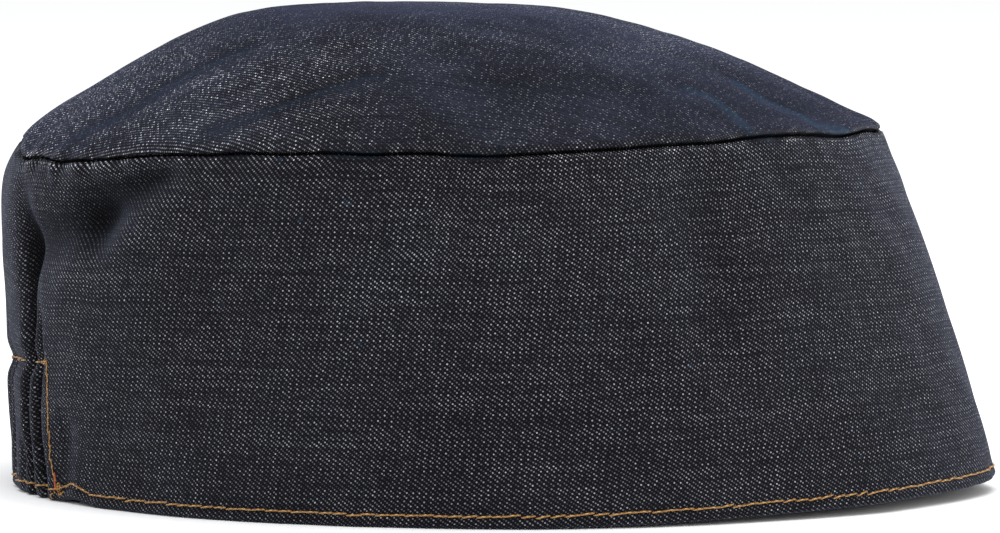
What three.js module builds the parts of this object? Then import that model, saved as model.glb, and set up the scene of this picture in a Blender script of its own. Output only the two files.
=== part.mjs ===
// A denim chef's skull cap, standing on its hem: a domed crown panel, a tall side band with a turned hem,
// and a gathered elastic section at the back. Millimetres, +Z up, +X to the front of the cap, +Y to the
// wearer's left. The origin is the middle of the head opening, on the surface that the hem rests on.
import * as THREE from "three";
import { ParametricGeometry } from "three/addons/geometries/ParametricGeometry.js";
import { mergeVertices } from "three/addons/utils/BufferGeometryUtils.js";

// Cloth and seams
const CLOTH = 1.2; // one layer of denim, with its surface fuzz
const SEAM_GAP = 0.3; // between two layers that are sewn face to face
const EDGE_ROUND = 0.9; // how far a cloth edge rolls before it turns inwards
const EDGE_SHOULDER = 0.3; // the share of that roll where its section has a point
const ALLOWANCE = 5.5; // seam allowance that points into the cap
const ALLOWANCE_DROP = 2.6; // how far its raw edge hangs below the seam
const ALLOWANCE_ROOT = 0.6; // how far the allowance sags where it leaves the wall
const SEAM_HOLD = 5; // dents of the band fade out this far below the seam
const HEM_TURN = 6; // height of the turned hem
const HEM_LAYERS = 2.5; // thickness of the wall where the hem is turned
const HEM_FOLD = 0.5; // bevel of its folded edge
const HEM_STEP = 0.35; // half the slope of its raw edge

// Side band: its outline at each height. front, back and side are reaches from the origin, taper is how
// much narrower than an oval the plan is on its way to the forehead, and point how much close to its tip.
const BAND = [
  { height: 0, front: 105.5, back: 103.4, side: 83.2, taper: 0.17, point: 0.18 },
  { height: 14, front: 101.6, back: 103.2, side: 84.3, taper: 0.16, point: 0.16 },
  { height: 28, front: 96.8, back: 103.6, side: 85.2, taper: 0.15, point: 0.14 },
  { height: 42, front: 92.8, back: 103.9, side: 85.7, taper: 0.14, point: 0.12 },
  { height: 54, front: 89.3, back: 105.1, side: 85.8, taper: 0.13, point: 0.1 },
  { height: 64, front: 85.6, back: 104.5, side: 85.3, taper: 0.12, point: 0.08 },
  { height: 70, front: 82.7, back: 102.4, side: 84.6, taper: 0.11, point: 0.07 },
  { height: 76, front: 80.0, back: 97.2, side: 83.8, taper: 0.11, point: 0.06 },
];
const POINT_SHARPNESS = 8; // how close to the tip the point keeps
const BACK_FULLNESS = 0.045; // the plan is fuller towards the back than a true oval
const FRONT_LIFT = 2.6; // the hem rises this much at the forehead
const LIFT_FROM = 20; // and starts to rise here, along X
const LIFT_CURVE = 1.2; // a power: how late most of that rise comes

// Height of the crown seam at each angle from the front, the same on both sides
const SEAM = [
  { angle: 0, height: 75.0 },
  { angle: 8, height: 75.6 },
  { angle: 20, height: 75.1 },
  { angle: 33, height: 76.0 },
  { angle: 55, height: 75.0 },
  { angle: 78, height: 73.7 },
  { angle: 98, height: 73.7 },
  { angle: 117, height: 72.9 },
  { angle: 130, height: 71.5 },
  { angle: 141, height: 69.8 },
  { angle: 149, height: 70.4 },
  { angle: 155, height: 69.5 },
  { angle: 163, height: 72.4 },
  { angle: 180, height: 72.8 },
];

// Crown panel: height over its seam, by share of the way out from its highest point to the seam
const CROWN_MIDDLE_X = -18;
const CROWN_LEVEL = 72.9; // the seam's mean height, which the middle of the panel is measured from
const CROWN_SLANT = 1.15; // its cloth is this much thicker straight down than square through
const RIM_BLEND = 3; // how closely the seam's ups and downs keep to the rim
const RIM_HOLD = 12; // how closely the rim stays out of the folds
const CROWN = [
  { share: 0, back: 28.4, side: 28.4, front: 28.4 },
  { share: 0.16, back: 28.2, side: 28.3, front: 28.2 },
  { share: 0.32, back: 27.6, side: 27.7, front: 26.6 },
  { share: 0.46, back: 26.1, side: 26.1, front: 23.9 },
  { share: 0.6, back: 21.7, side: 22.4, front: 19.5 },
  { share: 0.74, back: 14.9, side: 16.7, front: 13.9 },
  { share: 0.86, back: 9.0, side: 10.3, front: 7.9 },
  { share: 0.94, back: 5.1, side: 5.6, front: 3.8 },
  { share: 0.982, back: 2.4, side: 2.7, front: 1.9 },
  { share: 1, back: 0.6, side: 0.6, front: 0.6 },
];

// Elastic section: places along the hem are measured from the middle of the back
const CASING_HALF = 54; // from the middle of the back to the stitching at its end
const CASING_TOP = 29; // height of the stitching along its upper edge, at both ends
const CASING_SAG = 2.6; // how much lower that stitching is at the middle of the back
const CASING_FOOT = 1.4; // height of the lower edge of the casing, inside the cap
const ELASTIC_THICK = 1.1;
const CASING_GAP = 0.6; // between the elastic and its casing
const PINCH = 1.3; // how far the upper stitching draws the cloth in
const PINCH_HEIGHT = 2.6; // half the height of that groove
const CASING_BULGE = 0.3; // how far the elastic rounds the cloth out below it
const CASING_END = 3; // half the length over which both fade at the casing's ends

// Gathers: valleys that run up from the hem. place is along the hem, tip is the height where each one has
// faded out, and lean is how far it moves along the hem between its foot and the casing's upper edge.
const GATHER_FADE = 0.5; // the share of that height where it starts to fade
const GATHER_AT_HEM = 0.6; // its share of the depth at the hem, which the turned cloth holds
const GATHERS = [
  { place: 5, depth: 2.2, halfWidth: 2.1, tip: 46, lean: 1.5 },
  { place: 14, depth: 2.6, halfWidth: 2.2, tip: 58, lean: -1.5 },
  { place: 22.5, depth: 2.0, halfWidth: 2.0, tip: 42, lean: 1.0 },
  { place: 30, depth: 1.2, halfWidth: 1.8, tip: 36, lean: -0.5 },
  { place: 38, depth: 1.2, halfWidth: 1.5, tip: 14, lean: 0 },
  { place: 43, depth: 3.8, halfWidth: 2.2, tip: 72, lean: 1.2 },
  { place: 50.4, depth: 2.8, halfWidth: 1.6, tip: 46, lean: 0 },
];
const NOTCH_PLACE = 62.5; // where the end of the casing's stitching draws the hem up
const NOTCH_HALF = 4;
const NOTCH = 2.2;

// Drag lines and soft dents of the band, each from one place and height to another, the same on both sides
const DENTS = [
  { from: 72, low: 58, to: 89, high: 70, halfWidth: 5.5, depth: 3.4 },
  { from: 46, low: 50, to: 70, high: 60, halfWidth: 5.5, depth: 2.2 },
  { from: 59.5, low: 3, to: 60, high: 15, halfWidth: 2.2, depth: 1.3 },
  { from: 215, low: 38, to: 219, high: 66, halfWidth: 9, depth: 1.4 },
];

// Soft folds of the crown, from one point of its plan to another, the same on both sides
const CROWN_FOLDS = [
  { x: -80, y: 47, toX: -27, toY: 28, halfWidth: 5.5, depth: 1.3 },
  { x: -66, y: 64, toX: -9, toY: 62, halfWidth: 5, depth: 1.1 },
  { x: 52, y: 21, toX: 73, toY: 26, halfWidth: 4.5, depth: 1.1 },
  { x: 46, y: 38, toX: 59, toY: 51, halfWidth: 4.5, depth: 0.9 },
];

// Mesh fineness
const COLUMN = 2; // between columns of points across the gathers
const GATHER_COLUMNS = 30; // to each side of the middle of the back
const CASING_COLUMNS = 28;
const ELASTIC_COLUMNS = 26;
const PLAIN_COLUMNS = 50; // round the rest of the band

// Rows of points, as shares of the seam's height
const ELASTIC_LEVELS = [0.12, 0.24, 0.34];
const CASING_TOP_LEVEL = 0.4;
const CROWN_INNER_ROWS = 8; // the crown's inner face has this many of its table's rows
const MERGE = 1e-3; // points closer than this are one
const OUTER_LEVELS = [...ELASTIC_LEVELS, CASING_TOP_LEVEL, 0.5, 0.62, 0.74, 0.84, 0.92, 0.96];
const INNER_LEVELS = [...ELASTIC_LEVELS, CASING_TOP_LEVEL, 0.62, 0.74, 0.84];

const clamp = THREE.MathUtils.clamp;
const degrees = THREE.MathUtils.radToDeg;

// A smooth curve through one column of a table, read at any value of its key column.
function read(table, key, column, at) {
  const last = table.length - 1;
  const value = clamp(at, table[0][key], table[last][key]);
  let i = 0;
  while (i < last - 1 && value > table[i + 1][key]) i += 1;
  const slope = (k) => {
    const a = table[Math.max(k - 1, 0)];
    const b = table[Math.min(k + 1, last)];
    return (b[column] - a[column]) / (b[key] - a[key]);
  };
  const span = table[i + 1][key] - table[i][key];
  const t = (value - table[i][key]) / span;
  const [p, q] = [table[i][column], table[i + 1][column]];
  const [m, n] = [slope(i) * span, slope(i + 1) * span];
  return (
    (2 * t ** 3 - 3 * t ** 2 + 1) * p +
    (t ** 3 - 2 * t ** 2 + t) * m +
    (3 * t ** 2 - 2 * t ** 3) * q +
    (t ** 3 - t ** 2) * n
  );
}

const smooth = (low, high, value) => THREE.MathUtils.smoothstep(value, low, high);
const bell = (distance, halfWidth) => Math.exp(-((distance / halfWidth) ** 2));

// The band's plan at a height: angle 0 is the front, and it turns towards +Y.
function outline(angle, height) {
  const at = (column) => read(BAND, "height", column, height);
  const ahead = Math.cos(angle);
  const reach = ahead > 0 ? at("front") : at("back");
  const narrowing = at("taper") * ahead ** 2 + at("point") * ahead ** POINT_SHARPNESS;
  const width = ahead > 0 ? 1 - narrowing : 1 + BACK_FULLNESS * ahead ** 2;
  return new THREE.Vector2(reach * ahead, at("side") * Math.sin(angle) * width);
}

// The direction square to the plan, out of the cap
function outward(angle, height) {
  const step = 0.004;
  const along = outline(angle + step, height).sub(outline(angle - step, height)).normalize();
  return new THREE.Vector2(along.y, -along.x);
}

// Lengths along the hem from the middle of the back, on its way to the front on either side
const HEM_STEPS = 360;
const hemLengths = [0];
for (let i = 1; i <= HEM_STEPS; i += 1) {
  const before = outline(Math.PI * (1 - (i - 1) / HEM_STEPS), 0);
  const here = outline(Math.PI * (1 - i / HEM_STEPS), 0);
  hemLengths.push(hemLengths[i - 1] + here.distanceTo(before));
}
const HALF_HEM = hemLengths[HEM_STEPS];

// Distance along the hem from the middle of the back, the same on both sides
function placeOf(angle) {
  const turn = Math.abs(Math.atan2(Math.sin(angle), Math.cos(angle)));
  const at = (1 - turn / Math.PI) * HEM_STEPS;
  const i = Math.min(Math.floor(at), HEM_STEPS - 1);
  return THREE.MathUtils.lerp(hemLengths[i], hemLengths[i + 1], at - i);
}

// The angle at a signed place: positive on the +Y side of the middle of the back
function angleAt(place) {
  const length = Math.min(Math.abs(place), HALF_HEM);
  let i = 0;
  while (i < HEM_STEPS - 1 && hemLengths[i + 1] < length) i += 1;
  const share = (length - hemLengths[i]) / (hemLengths[i + 1] - hemLengths[i]);
  const turn = (Math.PI * (i + share)) / HEM_STEPS;
  return place >= 0 ? Math.PI - turn : Math.PI + turn;
}

function seamHeight(angle) {
  const turn = degrees(Math.abs(Math.atan2(Math.sin(angle), Math.cos(angle))));
  return read(SEAM, "angle", "height", turn);
}

function distanceToLine(x, y, ax, ay, bx, by) {
  const [dx, dy] = [bx - ax, by - ay];
  const t = clamp(((x - ax) * dx + (y - ay) * dy) / (dx * dx + dy * dy), 0, 1);
  return Math.hypot(x - ax - t * dx, y - ay - t * dy);
}

// Height of the casing's upper line of stitching at a place
function casingTop(place) {
  return CASING_TOP - CASING_SAG * Math.max(0, 1 - (place / CASING_HALF) ** 2);
}

// How far gathers, the pinch of the elastic and dents move the band's cloth outwards at a place and height.
// The seam at the top holds its line.
function bandRelief(place, height, top) {
  const casing = 1 - smooth(CASING_HALF - CASING_END, CASING_HALF + CASING_END, place);
  const foot = THREE.MathUtils.lerp(GATHER_AT_HEM, 1, smooth(0, HEM_TURN, height));
  let relief = 0;
  for (const g of GATHERS) {
    const rise = 1 - smooth(g.tip * GATHER_FADE, g.tip, height);
    const middle = g.place + g.lean * Math.min(height / CASING_TOP, 1);
    relief -= g.depth * rise * foot * bell(place - middle, g.halfWidth);
  }
  relief -= PINCH * casing * bell(height - casingTop(place), PINCH_HEIGHT);
  relief += CASING_BULGE * casing * bell(height - CASING_TOP / 2, CASING_TOP / 3);
  const free = 1 - smooth(top - SEAM_HOLD, top, height);
  for (const d of DENTS) {
    const away = distanceToLine(place, height, d.from, d.low, d.to, d.high);
    relief -= free * d.depth * bell(away, d.halfWidth);
  }
  return relief;
}

function hemLift(x, place) {
  const front = FRONT_LIFT * clamp((x - LIFT_FROM) / (BAND[0].front - LIFT_FROM), 0, 1) ** LIFT_CURVE;
  return front + NOTCH * bell(place - NOTCH_PLACE, NOTCH_HALF);
}

// A point of the band's cloth: inset is how far inside the outer face it lies.
function bandPoint(angle, height, inset) {
  const face = outline(angle, height);
  const out = outward(angle, height);
  const place = placeOf(angle);
  const top = seamHeight(angle);
  face.addScaledVector(out, bandRelief(place, height, top) - inset);
  const rise = hemLift(face.x, place) * (1 - smooth(0, top, height));
  return new THREE.Vector3(face.x, face.y, height + rise);
}

// A point of either panel at their seam: drop is measured from the seam's height.
function seamPoint(angle, drop, inset) {
  const level = seamHeight(angle);
  const rim = outline(angle, level);
  rim.addScaledVector(outward(angle, level), bandRelief(placeOf(angle), level, level) - inset);
  return new THREE.Vector3(rim.x, rim.y, level - drop);
}

// A geometry with its doubled vertices merged and its collapsed triangles dropped
function merged(source) {
  source.deleteAttribute("normal");
  source.deleteAttribute("uv");
  const geometry = mergeVertices(source, MERGE);
  const index = geometry.index.array;
  const kept = [];
  for (let i = 0; i < index.length; i += 3) {
    const [a, b, c] = index.slice(i, i + 3);
    if (a !== b && b !== c && c !== a) kept.push(a, b, c);
  }
  geometry.setIndex(kept);
  geometry.computeVertexNormals();
  return geometry;
}

// A closed surface whose point at a column and a row comes from a function; the columns go round.
function closedSurface(columns, rows, point) {
  const made = new ParametricGeometry(
    (u, v, target) => target.copy(point(Math.round(u * columns) % columns, Math.round(v * rows))),
    columns,
    rows,
  );
  return merged(made);
}

// The band's section, from the hem up the outer face, in along the seam allowance and down the inner face.
// Each row is a share of the seam's height, a rise added to it, which may be below zero, and the inset.
function bandSection() {
  const shoulder = EDGE_ROUND * EDGE_SHOULDER;
  const edge = -SEAM_GAP / 2;
  return [
    { level: 0, rise: 0, inset: HEM_FOLD },
    { level: 0, rise: EDGE_ROUND, inset: 0 },
    ...OUTER_LEVELS.map((level) => ({ level, rise: 0, inset: 0 })),
    { level: 1, rise: -EDGE_ROUND, inset: 0 },
    { level: 1, rise: -shoulder, inset: shoulder },
    { level: 1, rise: edge, inset: EDGE_ROUND },
    { level: 1, rise: edge - ALLOWANCE_DROP, inset: ALLOWANCE },
    { level: 1, rise: edge - ALLOWANCE_DROP - CLOTH, inset: ALLOWANCE },
    { level: 1, rise: edge - ALLOWANCE_ROOT - CLOTH, inset: CLOTH },
    ...INNER_LEVELS.toReversed().map((level) => ({ level, rise: 0, inset: CLOTH })),
    { level: 0, rise: HEM_TURN + HEM_STEP, inset: CLOTH },
    { level: 0, rise: HEM_TURN - HEM_STEP, inset: HEM_LAYERS },
    { level: 0, rise: EDGE_ROUND, inset: HEM_LAYERS },
    { level: 0, rise: 0, inset: HEM_LAYERS - HEM_FOLD },
    { level: 0, rise: 0, inset: HEM_FOLD },
  ];
}

// Angles of the band's columns: close together across the gathers and wider apart elsewhere
function bandAngles() {
  const angles = [];
  for (let i = GATHER_COLUMNS; i >= -GATHER_COLUMNS; i -= 1) {
    angles.push(angleAt(i * COLUMN));
  }
  const start = angleAt(-GATHER_COLUMNS * COLUMN);
  const end = angleAt(GATHER_COLUMNS * COLUMN) + 2 * Math.PI;
  for (let i = 1; i < PLAIN_COLUMNS; i += 1) {
    angles.push(start + ((end - start) * i) / PLAIN_COLUMNS);
  }
  return angles;
}

function sideBand() {
  const section = bandSection();
  const angles = bandAngles();
  return closedSurface(angles.length, section.length - 1, (column, row) => {
    const angle = angles[column];
    const { level, rise, inset } = section[row];
    if (level === 1) return seamPoint(angle, -rise, inset);
    return bandPoint(angle, level * seamHeight(angle) + rise, inset);
  });
}

// Height of the crown's outer face at a share of the way out, where its plan has the point x, y
function crownHeight(angle, share, x, y) {
  const [c, s] = [Math.cos(angle), Math.sin(angle)];
  const back = Math.max(0, -c) ** 2 * read(CROWN, "share", "back", share);
  const front = Math.max(0, c) ** 2 * read(CROWN, "share", "front", share);
  const side = s ** 2 * read(CROWN, "share", "side", share);
  const base = THREE.MathUtils.lerp(CROWN_LEVEL, seamHeight(angle), share ** RIM_BLEND);
  let height = base + back + front + side;
  for (const f of CROWN_FOLDS) {
    const away = distanceToLine(x, Math.abs(y), f.x, f.y, f.toX, f.toY);
    height -= f.depth * bell(away, f.halfWidth) * (1 - share ** RIM_HOLD);
  }
  return height;
}

// A point of the crown's cloth: share is the way out to the seam, and drop is the depth below the outer face.
function crownPoint(angle, share, drop, inset) {
  const rim = seamPoint(angle, 0, inset);
  const x = THREE.MathUtils.lerp(CROWN_MIDDLE_X, rim.x, share);
  const y = rim.y * share;
  return new THREE.Vector3(x, y, crownHeight(angle, share, x, y) - drop);
}

// The crown's section, from the middle of its underside out to the allowance, round the seam and up to the
// top. Each row is a share of the way out, a drop below the outer face and an inset at the rim.
function crownSection() {
  const shoulder = EDGE_ROUND * EDGE_SHOULDER;
  const edge = CROWN.at(-1).side - SEAM_GAP / 2;
  const outer = CROWN.map(({ share }) => ({ share, drop: 0, inset: 0 }));
  const inner = CROWN.slice(0, CROWN_INNER_ROWS);
  return [
    ...inner.map(({ share }) => ({ share, drop: CLOTH * CROWN_SLANT, inset: CLOTH })),
    { share: 1, drop: edge - CLOTH, inset: EDGE_ROUND + CLOTH },
    { share: 1, drop: edge + ALLOWANCE_DROP - CLOTH, inset: ALLOWANCE },
    { share: 1, drop: edge + ALLOWANCE_DROP, inset: ALLOWANCE },
    { share: 1, drop: edge, inset: EDGE_ROUND },
    { share: 1, drop: edge - shoulder, inset: shoulder },
    ...outer.reverse(),
  ];
}

function crown() {
  const section = crownSection();
  const angles = bandAngles().filter((angle, i) => i % 2 === 0);
  return closedSurface(angles.length, section.length - 1, (column, row) => {
    const { share, drop, inset } = section[row];
    return crownPoint(angles[column], share, drop, inset);
  });
}

// A strip that lies inside the back of the band, on the same columns of points. Each of its rows has a
// level, a rise and an inset, as in the band's section.
function backStrip(columns, rows, thickness) {
  const spans = rows.length - 1;
  const strip = merged(new THREE.BoxGeometry(2 * columns, 1, spans, 2 * columns, 1, spans));
  const position = strip.getAttribute("position");
  for (let i = 0; i < position.count; i += 1) {
    const angle = angleAt(position.getX(i) * COLUMN);
    const { level, rise, inset } = rows[Math.round(position.getZ(i) + spans / 2)];
    const depth = inset + thickness * (0.5 - position.getY(i));
    const { x, y, z } = bandPoint(angle, level * seamHeight(angle) + rise, depth);
    position.setXYZ(i, x, y, z);
  }
  strip.computeVertexNormals();
  return strip;
}

// The elastic lies against the band between the turned hem and the upper line of stitching.
function backElastic() {
  const rows = ELASTIC_LEVELS.map((level) => ({ level, rise: 0, inset: CLOTH + SEAM_GAP }));
  return backStrip(ELASTIC_COLUMNS, rows, ELASTIC_THICK);
}

// The casing covers the elastic from the hem up, and meets the band above it.
function elasticCasing() {
  const inset = CLOTH + SEAM_GAP + ELASTIC_THICK + CASING_GAP;
  const rows = [
    { level: 0, rise: CASING_FOOT, inset },
    { level: 0, rise: HEM_TURN - HEM_STEP, inset },
    ...ELASTIC_LEVELS.map((level) => ({ level, rise: 0, inset })),
    { level: CASING_TOP_LEVEL, rise: 0, inset: CLOTH + SEAM_GAP },
  ];
  return backStrip(CASING_COLUMNS, rows, CLOTH);
}

const denim = new THREE.MeshStandardMaterial({ color: 0x2d2c30, roughness: 0.95, metalness: 0 });
const webbing = new THREE.MeshStandardMaterial({ color: 0xd8d6d0, roughness: 0.9, metalness: 0 });

function piece(name, geometry, material) {
  const mesh = new THREE.Mesh(geometry, material);
  mesh.name = name;
  return mesh;
}

const cap = new THREE.Group();
cap.name = "chef_skull_cap";
cap.add(
  piece("crown", crown(), denim),
  piece("side_band", sideBand(), denim),
  piece("elastic_casing", elasticCasing(), denim),
  piece("back_elastic", backElastic(), webbing),
);

export default cap;
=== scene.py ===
import math

import bpy
import numpy as np
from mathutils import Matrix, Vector


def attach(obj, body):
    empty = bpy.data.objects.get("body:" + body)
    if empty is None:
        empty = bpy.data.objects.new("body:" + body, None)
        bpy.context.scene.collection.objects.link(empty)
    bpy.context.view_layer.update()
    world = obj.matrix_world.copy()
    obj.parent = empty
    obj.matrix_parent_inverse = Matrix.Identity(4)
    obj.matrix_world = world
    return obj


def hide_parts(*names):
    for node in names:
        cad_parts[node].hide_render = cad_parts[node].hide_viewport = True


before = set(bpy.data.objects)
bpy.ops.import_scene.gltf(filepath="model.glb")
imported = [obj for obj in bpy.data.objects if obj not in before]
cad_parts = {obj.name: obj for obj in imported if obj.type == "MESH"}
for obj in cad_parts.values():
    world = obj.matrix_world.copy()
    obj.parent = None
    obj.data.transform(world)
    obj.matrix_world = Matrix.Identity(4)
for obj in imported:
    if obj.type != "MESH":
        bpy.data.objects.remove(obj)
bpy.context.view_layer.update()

MM = 0.001
BODY = "root"

# Cloth and seams
CLOTH = 1.2  # one layer of denim
SEAM_GAP = 0.5
EDGE_ROUND = 0.9  # how far the cloth rolls at the crown seam
ALLOWANCE = 5.5
ALLOWANCE_DROP = 2.6
HEM_TURN = 6.0
HEM_LAYERS = 2.5
HEM_ROLL = 1.3  # height of the hem's rounded edge
SEAM_HOLD = 5.0

# Side band: its outline at each height
BAND = [
    {"height": 0, "front": 105.5, "back": 103.4, "side": 83.2, "taper": 0.17, "point": 0.18},
    {"height": 14, "front": 101.6, "back": 103.2, "side": 84.3, "taper": 0.16, "point": 0.16},
    {"height": 28, "front": 96.8, "back": 103.6, "side": 85.2, "taper": 0.15, "point": 0.14},
    {"height": 42, "front": 92.8, "back": 103.9, "side": 85.7, "taper": 0.14, "point": 0.12},
    {"height": 54, "front": 89.3, "back": 105.1, "side": 85.8, "taper": 0.13, "point": 0.1},
    {"height": 64, "front": 85.6, "back": 104.5, "side": 85.3, "taper": 0.12, "point": 0.08},
    {"height": 70, "front": 82.7, "back": 102.4, "side": 84.6, "taper": 0.11, "point": 0.07},
    {"height": 76, "front": 80.0, "back": 97.2, "side": 83.8, "taper": 0.11, "point": 0.06},
]
POINT_SHARPNESS = 8
BACK_FULLNESS = 0.045
FRONT_LIFT = 2.6
LIFT_CURVE = 1.2
LIFT_FROM = 20.0

# Height of the crown seam at each angle from the front, in degrees
SEAM = [{"angle": angle, "height": height} for angle, height in (
    (0, 75.0), (8, 75.6), (20, 75.1), (33, 76.0), (55, 75.0), (78, 73.7), (98, 73.7), (117, 72.9),
    (130, 71.5), (141, 69.8), (149, 70.4), (155, 69.5), (163, 72.4), (180, 72.8),
)]

# Crown panel: height over its seam, by share of the way out from its highest point
CROWN_MIDDLE_X = -18.0
CROWN_LEVEL = 72.9
CROWN_SLANT = 1.15
RIM_BLEND = 3
RIM_HOLD = 12
CROWN = [
    {"share": 0, "back": 28.4, "side": 28.4, "front": 28.4},
    {"share": 0.16, "back": 28.2, "side": 28.3, "front": 28.2},
    {"share": 0.32, "back": 27.6, "side": 27.7, "front": 26.6},
    {"share": 0.46, "back": 26.1, "side": 26.1, "front": 23.9},
    {"share": 0.6, "back": 21.7, "side": 22.4, "front": 19.5},
    {"share": 0.74, "back": 14.9, "side": 16.7, "front": 13.9},
    {"share": 0.86, "back": 9.0, "side": 10.3, "front": 7.9},
    {"share": 0.94, "back": 5.1, "side": 5.6, "front": 3.8},
    {"share": 0.982, "back": 2.4, "side": 2.7, "front": 1.9},
    {"share": 1, "back": 0.6, "side": 0.6, "front": 0.6},
]

# Elastic section: places along the hem are measured from the middle of the back
CASING_HALF = 54.0
CASING_TOP = 29.0  # height of the upper line of stitching at its ends
CASING_SAG = 2.6  # how much lower it is at the middle of the back
CASING_FOOT = 1.4
CASING_SPARE = 2.0  # how far the casing runs on past its half length, and the elastic stops before it
ELASTIC_OVER_HEM = 1.5
ELASTIC_TOP = 24.5
ELASTIC_THICK = 1.1
CASING_GAP = 0.6  # between the elastic and its casing

# The casing's upper edge: its height, and the share of its way out from behind the elastic to the band
CASING_EDGE = [
    {"height": 26.2, "share": 0.7},
    {"height": 28.0, "share": 1.0},
    {"height": 30.5, "share": 0.95},
]

# The casing's stitching draws the band in, and the cloth below it stands out
PINCH = 1.3
PINCH_HEIGHT = 2.4
CASING_BULGE = 0.3
CASING_END = 6.0  # the stretch over which both fade out at its ends
CASING_END_LEAN = 2.0  # how far the stitching at its end leans away from it on its way to the hem
CASING_END_OFFSET = 0.4  # how far outside the casing's end that stitching lies

# Gathers: valleys that run up from the hem, to a tip. Each leans along the hem on its way up to the casing's
# stitching, turns away near the hem, and has one width below that stitching and another above it.
GATHER_FADE = 0.5
GATHER_AT_HEM = 0.6
GATHER_FOOT = 18.0  # height below which they turn away
GATHER_SWAY = 0.3
GATHER_SWAY_LENGTH = 7.0
WIDEN_FROM = 26.0  # heights between which their width changes
WIDEN_TO = 38.0
FOLDED_OVER = 2.9  # depth from which a gather hides the stitches across it
FOLD_SPREAD = 2.0  # width that it hides, in its own widths
FOLD_LEAN = 1.5  # how far the hidden stitches lie from its floor, towards the middle of the back
GATHERS = [
    {"place": 5, "depth": 2.2, "width": 2.1, "above": 2.1, "tip": 46, "lean": 1.5, "turn": 0.5},
    {"place": 14, "depth": 2.6, "width": 2.2, "above": 2.2, "tip": 58, "lean": -1.5, "turn": 1.0},
    {"place": 22.5, "depth": 2.0, "width": 2.0, "above": 2.0, "tip": 42, "lean": 1.0, "turn": -0.5},
    {"place": 30, "depth": 1.2, "width": 1.8, "above": 1.8, "tip": 36, "lean": -0.5, "turn": 1.0},
    {"place": 38, "depth": 1.2, "width": 1.5, "above": 1.5, "tip": 14, "lean": 0, "turn": 1.5},
    {"place": 40.2, "depth": 4.8, "width": 1.5, "above": 3.0, "tip": 72, "lean": 3.4, "turn": 4.5},
    {"place": 46.7, "depth": 3.2, "width": 1.3, "above": 1.3, "tip": 46, "lean": 3.4, "turn": 4.2},
]
NOTCH_PLACE = 62.5
NOTCH_HALF = 4.0
NOTCH = 0.9
NOTCH_THREAD = 0.8  # how much more the stitching rises over it

# Drag lines and soft dents of the band, each from one place and height to another
DENTS = [
    {"from": 72, "low": 58, "to": 89, "high": 70, "width": 5.5, "depth": 3.4},
    {"from": 46, "low": 52, "to": 72, "high": 60, "width": 6.5, "depth": 3.2},
    {"from": 59.5, "low": 3, "to": 60, "high": 15, "width": 3.4, "depth": 0.9},
    {"from": 215, "low": 38, "to": 219, "high": 66, "width": 9, "depth": 1.4},
]

# Soft folds of the crown, each along a path over its plan, on both sides; one with a depth of 0 is only a
# patch of colour. Their last column is how much painted sheen lies on their cloth, which hides its weft dots
# and at last turns it blue.
CROWN_FOLDS = [
    {"path": ((-78, 50), (-68, 51), (-58, 48), (-43, 46)), "width": 4.4, "depth": 0.6, "painted_sheen": 0.82},
    {"path": ((-45, 72), (-35, 70.5), (-23, 67), (-13, 64)), "width": 3.6, "depth": 0.6, "painted_sheen": 0.8},
    {"path": ((54, 23), (60, 26), (67, 25), (71, 30), (76, 22)), "width": 4.4, "depth": 0.8, "painted_sheen": 1.0},
    {"path": ((47, 43), (51, 42), (55.5, 45), (59, 50)), "width": 3.8, "depth": 0.7, "painted_sheen": 0.95},
    {"path": ((5, 70), (40, 58), (66, 22)), "width": 34, "depth": 0, "painted_sheen": 0.7},
    {"path": ((-34, 26), (15, 30)), "width": 32, "depth": 0, "painted_sheen": 0.7},
]

# Waves of the cloth that no table names: their length, height and seed
WAVES_ADDED = 7
WAVE_LENGTHS = (0.7, 1.4)  # range of their lengths, as shares of the one named
BAND_SWELL = {"length": 46, "height": 0.28, "seed": 3}
BAND_RIPPLE = {"length": 15, "height": 0.10, "seed": 5}
CROWN_SWELL = {"length": 38, "height": 0.18, "seed": 7}
CROWN_RIPPLE = {"length": 12, "height": 0.06, "seed": 11}
SEAM_WANDER = {"length": 22, "height": 0.12, "seed": 13}
SEAM_PUCKER = {"length": 5.0, "height": 0.16, "seed": 17}
SEAM_PUCKER_REACH = 3.5  # how far the puckers run from the seam
PUCKER_RISE = 0.3  # share of a height that counts for them, so that they stand upright on the band
PUCKERED_ANGLE = 147  # where the puckers are strongest
PUCKERED_HALF = 16
PUCKERED_TIMES = 2.6

# Patches of cloth where a wave is high, and its heights at which they begin and are full
SHEEN_PATCH = {"length": 26, "height": 1.0, "seed": 29, "begin": 0.3, "full": 1.5}
# Painted sheen along the seam: its strength and how far it reaches
SEAM_SHEEN = 0.85
SEAM_SHEEN_REACH = 2.2
SEAM_SHADE = 0.5  # how far from the seam its groove is painted dark
FRAY_PATCH = {"length": 4.0, "height": 1.0, "seed": 31, "begin": -0.6, "full": 1.2}
FRAY_FROM_SEAM = 0.75  # where the puckered stretch of the seam is most frayed
FRAY_REACH = 0.8
FRAY_ELSEWHERE = 0.6  # how frayed the rest of it is, next to that stretch
FRAY_LIGHT = 4.0  # how much brighter the weft is there

HEM_PUCKER = {"length": 6.0, "height": 0.10, "seed": 19}
HEM_PUCKER_REACH = 3.0  # how far it runs above the hem's stitching
CROWN_ROLL = 0.08  # how far the crown's edge bulges over the seam
CROWN_ROLL_HALF = 1.3
CROWN_ROLL_FROM = 0.9  # the share of the way out from which it does

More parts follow.
